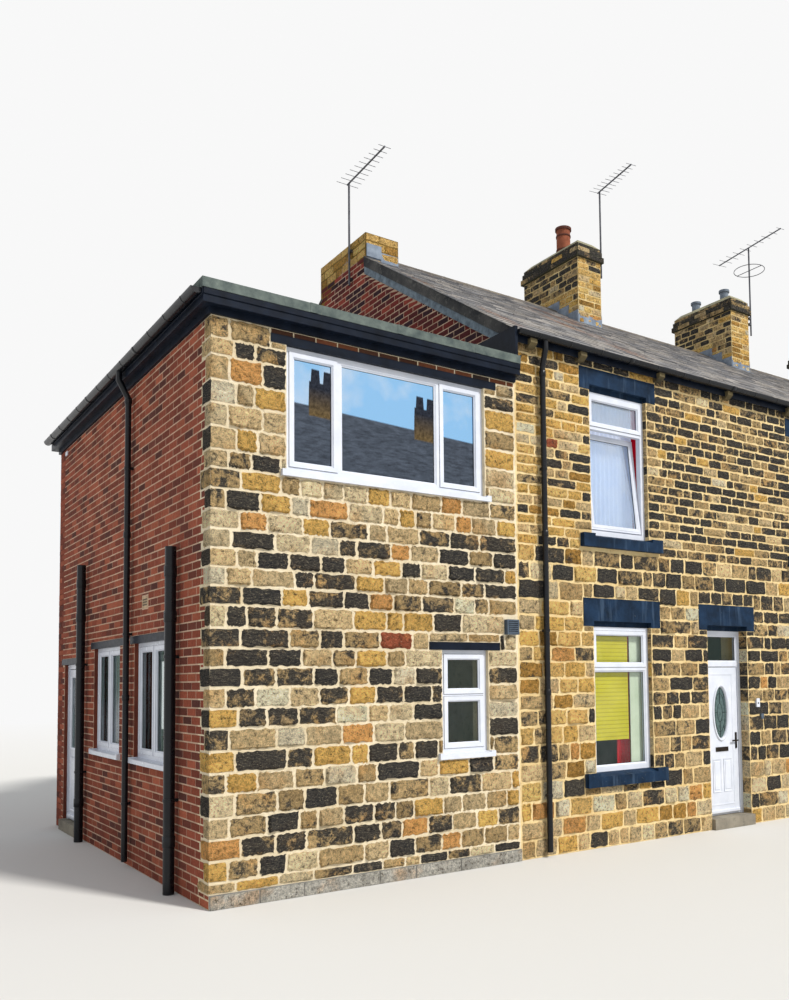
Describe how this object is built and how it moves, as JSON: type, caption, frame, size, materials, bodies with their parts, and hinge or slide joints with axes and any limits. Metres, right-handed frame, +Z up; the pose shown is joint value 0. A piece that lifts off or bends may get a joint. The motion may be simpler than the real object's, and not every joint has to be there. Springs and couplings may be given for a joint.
{
  "type": "terraced house row",
  "caption": "Row of stone-fronted terraced houses with a flat-roofed extension, slate roof, chimney stacks and hinged front and side doors.",
  "frame": {"origin": "bottom centre of the bounding box, on the ground", "axes": "+X along the street front to the right, seen from the street, +Y to the back, +Z up"},
  "size_m": [16.712, 8.434, 10.8296],
  "materials": {
    "coursed_stone": "rough",
    "red_brick": "rough",
    "concrete": "rough",
    "timber": "matte",
    "roof_felt": "rough",
    "painted_timber": "satin",
    "black_plastic": "satin",
    "painted_stone": "satin",
    "white_plastic": "satin",
    "glass": "clear",
    "dark_metal": "satin",
    "stone_slate": "rough",
    "mortar": "rough",
    "clay": "rough",
    "lead": "matte",
    "blind_cloth": "matte",
    "curtain_cloth": "matte",
    "aluminium": "satin"
  },
  "bodies": {
    "row": {"back_wall": "coursed_stone", "chimney_flashings": "lead", "chimney_mortar": "mortar", "chimney_pots": "clay", "curtain_rods": "white_plastic", "curtains": "curtain_cloth", "eaves_end_board": "painted_timber", "extension_back_wall": "red_brick", "extension_fascias": "painted_timber", "extension_floors": "concrete", "extension_front_wall": "coursed_stone", "extension_glass": "glass", "extension_gutter": "black_plastic", "extension_lintels": "painted_stone", "extension_plinth": "concrete", "extension_roof_deck": "roof_felt", "extension_roof_kerb": "roof_felt", "extension_side_pier": "red_brick", "extension_side_wall": "red_brick", "extension_side_wall_over_door": "red_brick", "extension_sills": "white_plastic", "extension_window_frames": "white_plastic", "fixed_doors": "white_plastic", "front_door_frame": "white_plastic", "front_downpipe": "black_plastic", "front_wall_left": "coursed_stone", "front_wall_over_door": "coursed_stone", "front_wall_right": "coursed_stone", "gable_chimney_stack": "red_brick", "gable_verge": "mortar", "gable_wall": "red_brick", "ground_floors": "concrete", "gutter_corbels": "coursed_stone", "house_glass": "glass", "house_lintels": "painted_stone", "house_sills": "painted_stone", "house_window_frames": "white_plastic", "main_gutters": "black_plastic", "party_chimney_stacks": "coursed_stone", "party_walls": "coursed_stone", "pipe_brackets": "black_plastic", "ridge_tiles": "stone_slate", "roof_back_slope": "stone_slate", "roof_front_slope": "stone_slate", "side_door_frame": "white_plastic", "side_downpipe": "black_plastic", "soil_pipes": "black_plastic", "thresholds": "coursed_stone", "tilted_sash": "white_plastic", "tv_aerials": "aluminium", "upper_floors": "timber", "verge_boards": "painted_timber", "wall_boxes": "white_plastic", "window_blinds": "blind_cloth"},
    "front_door_leaf": {"front_door": "white_plastic", "front_door_glass": "glass", "front_door_furniture": "dark_metal"},
    "side_door_leaf": {"side_door": "white_plastic", "side_door_glass": "glass", "side_door_handles": "dark_metal"}
  },
  "joints": [
    {"name": "front_door_hinge", "type": "hinge", "parent": "row", "child": "front_door_leaf", "pos_m": [-1.179, -3.82, 0.15], "axis": [0, 0, 1], "range_deg": [0, 90]},
    {"name": "side_door_hinge", "type": "hinge", "parent": "row", "child": "side_door_leaf", "pos_m": [-8.005, 1.779, 0.15], "axis": [0, 0, 1], "range_deg": [0, 90]}
  ]
}
